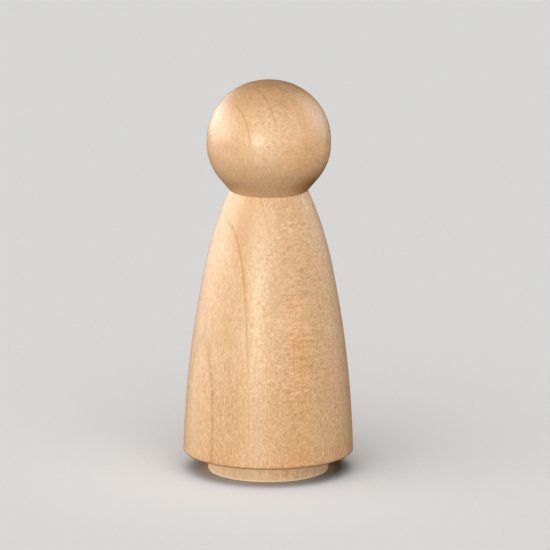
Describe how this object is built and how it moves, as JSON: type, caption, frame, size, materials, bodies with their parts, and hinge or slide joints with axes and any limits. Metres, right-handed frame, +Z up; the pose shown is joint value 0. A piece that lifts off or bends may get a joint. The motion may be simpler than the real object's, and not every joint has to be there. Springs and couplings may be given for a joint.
{
  "type": "peg doll",
  "caption": "Turned wooden peg doll: a ball head doweled to a bell-shaped body that stands on a short round foot with a spigot, bare pale wood.",
  "frame": {"origin": "centre of the foot's flat underside, on the doll's axis", "axes": "+Z up along the turning axis, from the foot to the crown; -Y is the side the picture is taken from, +X to its right"},
  "size_m": [0.0382, 0.0382, 0.0889],
  "materials": {
    "head_wood": "bare maple or birch, sanded smooth and burnished to a soft satin; growth rings run top to bottom, facing front-left",
    "body_wood": "bare maple or birch, sanded smooth and burnished to a soft satin; growth rings, fine fibre streaks and short ray flecks",
    "foot_wood": "bare maple or birch, duller and slightly fuzzier than the body, with vertical streaks and a worn pale lower edge",
    "dowel_wood": "bare beech dowel stock, with straight pressed flutes"
  },
  "bodies": {
    "root": {"head": "head_wood", "neck_dowel": "dowel_wood", "body": "body_wood", "foot": "foot_wood"}
  },
  "joints": []
}
